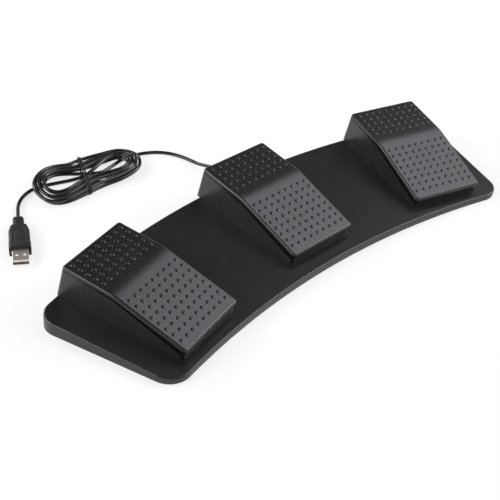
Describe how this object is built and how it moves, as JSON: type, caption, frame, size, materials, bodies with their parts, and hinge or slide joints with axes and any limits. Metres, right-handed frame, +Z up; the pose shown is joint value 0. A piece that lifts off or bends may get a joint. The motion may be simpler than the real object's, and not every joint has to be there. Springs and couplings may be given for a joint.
{
  "type": "foot pedal switch",
  "caption": "Wide curved base carrying dotted rocking foot pedals side by side, each with its own switch and return spring, and a coiled USB lead.",
  "frame": {"origin": "on the floor, under the middle of the switch without its lead", "axes": "+X along the base to the pedal on the user's right, +Y to the rear, away from the user, +Z up"},
  "size_m": [0.4156, 0.2605, 0.0423],
  "materials": {
    "deck_plastic": "satin moulded",
    "bottom_plastic": "matte moulded",
    "foot_rubber": "matte",
    "screw_steel": "zinc plated",
    "housing_plastic": "satin moulded",
    "cover_plastic": "fine moulded grain",
    "pin_steel": "ground",
    "spring_steel": "drawn wire",
    "switch_plastic": "moulded",
    "plunger_plastic": "moulded",
    "circuit_board": "solder mask",
    "chip_plastic": "moulded",
    "header_plastic": "moulded",
    "cord_sheath": "soft satin sheath",
    "gland_rubber": "moulded",
    "tie_plastic": "coated wire",
    "plug_plastic": "satin moulded",
    "plug_steel": "bright plated",
    "tongue_plastic": "moulded",
    "contact_brass": "gold plated"
  },
  "bodies": {
    "base": {"base_plate": "deck_plastic", "bottom_plate": "bottom_plastic", "rubber_feet": "foot_rubber", "stop_bumpers": "foot_rubber", "bottom_screws": "screw_steel", "housing_screws": "screw_steel", "board_screws": "screw_steel", "pin_retainers": "screw_steel", "left_housing": "housing_plastic", "centre_housing": "housing_plastic", "right_housing": "housing_plastic", "left_hinge_pin": "pin_steel", "centre_hinge_pin": "pin_steel", "right_hinge_pin": "pin_steel", "left_return_spring": "spring_steel", "centre_return_spring": "spring_steel", "right_return_spring": "spring_steel", "left_switch_body": "switch_plastic", "centre_switch_body": "switch_plastic", "right_switch_body": "switch_plastic", "left_switch_board": "circuit_board", "right_switch_board": "circuit_board", "main_board": "circuit_board", "controller_chip": "chip_plastic", "wire_headers": "header_plastic", "cable_lead": "cord_sheath", "cable_hank": "cord_sheath", "cable_tail": "cord_sheath", "left_loom": "cord_sheath", "right_loom": "cord_sheath", "lead_inner": "cord_sheath", "cable_gland": "gland_rubber", "twist_tie": "tie_plastic", "plug_overmould": "plug_plastic", "plug_shell": "plug_steel", "plug_tongue": "tongue_plastic", "plug_contacts": "contact_brass"},
    "left_pedal": {"left_cover": "cover_plastic"},
    "left_plunger": {"left_switch_plunger": "plunger_plastic"},
    "centre_pedal": {"centre_cover": "cover_plastic"},
    "centre_plunger": {"centre_switch_plunger": "plunger_plastic"},
    "right_pedal": {"right_cover": "cover_plastic"},
    "right_plunger": {"right_switch_plunger": "plunger_plastic"}
  },
  "joints": [
    {"name": "left_press", "type": "hinge", "parent": "base", "child": "left_pedal", "pos_m": [-0.15295, 0.03408, 0.03098], "axis": [0.9668, 0.255, 0.0147], "range_deg": [0, 1.8], "stiffness_Nm_per_rad": 2, "springref_deg": -14.32, "deforming": ["left_return_spring"]},
    {"name": "centre_press", "type": "hinge", "parent": "base", "child": "centre_pedal", "pos_m": [0, 0.05512, 0.03219], "axis": [1, 0, 0], "range_deg": [0, 1.8], "stiffness_Nm_per_rad": 2, "springref_deg": -14.32, "deforming": ["centre_return_spring"]},
    {"name": "right_press", "type": "hinge", "parent": "base", "child": "right_pedal", "pos_m": [0.15295, 0.03408, 0.03098], "axis": [0.9668, -0.255, -0.0147], "range_deg": [0, 1.8], "stiffness_Nm_per_rad": 2, "springref_deg": -14.32, "deforming": ["right_return_spring"]},
    {"name": "left_plunger_slide", "type": "slide", "parent": "base", "child": "left_plunger", "axis": [0, 0.0576, -0.9983], "range_m": [0, 0.0009]},
    {"name": "centre_plunger_slide", "type": "slide", "parent": "base", "child": "centre_plunger", "axis": [0, 0.0576, -0.9983], "range_m": [0, 0.0009]},
    {"name": "right_plunger_slide", "type": "slide", "parent": "base", "child": "right_plunger", "axis": [0, 0.0576, -0.9983], "range_m": [0, 0.0009]}
  ],
  "couplings": [
    {"joint": "left_plunger_slide", "follows": "left_press", "m_per_rad": 0.028},
    {"joint": "centre_plunger_slide", "follows": "centre_press", "m_per_rad": 0.028},
    {"joint": "right_plunger_slide", "follows": "right_press", "m_per_rad": 0.028}
  ]
}
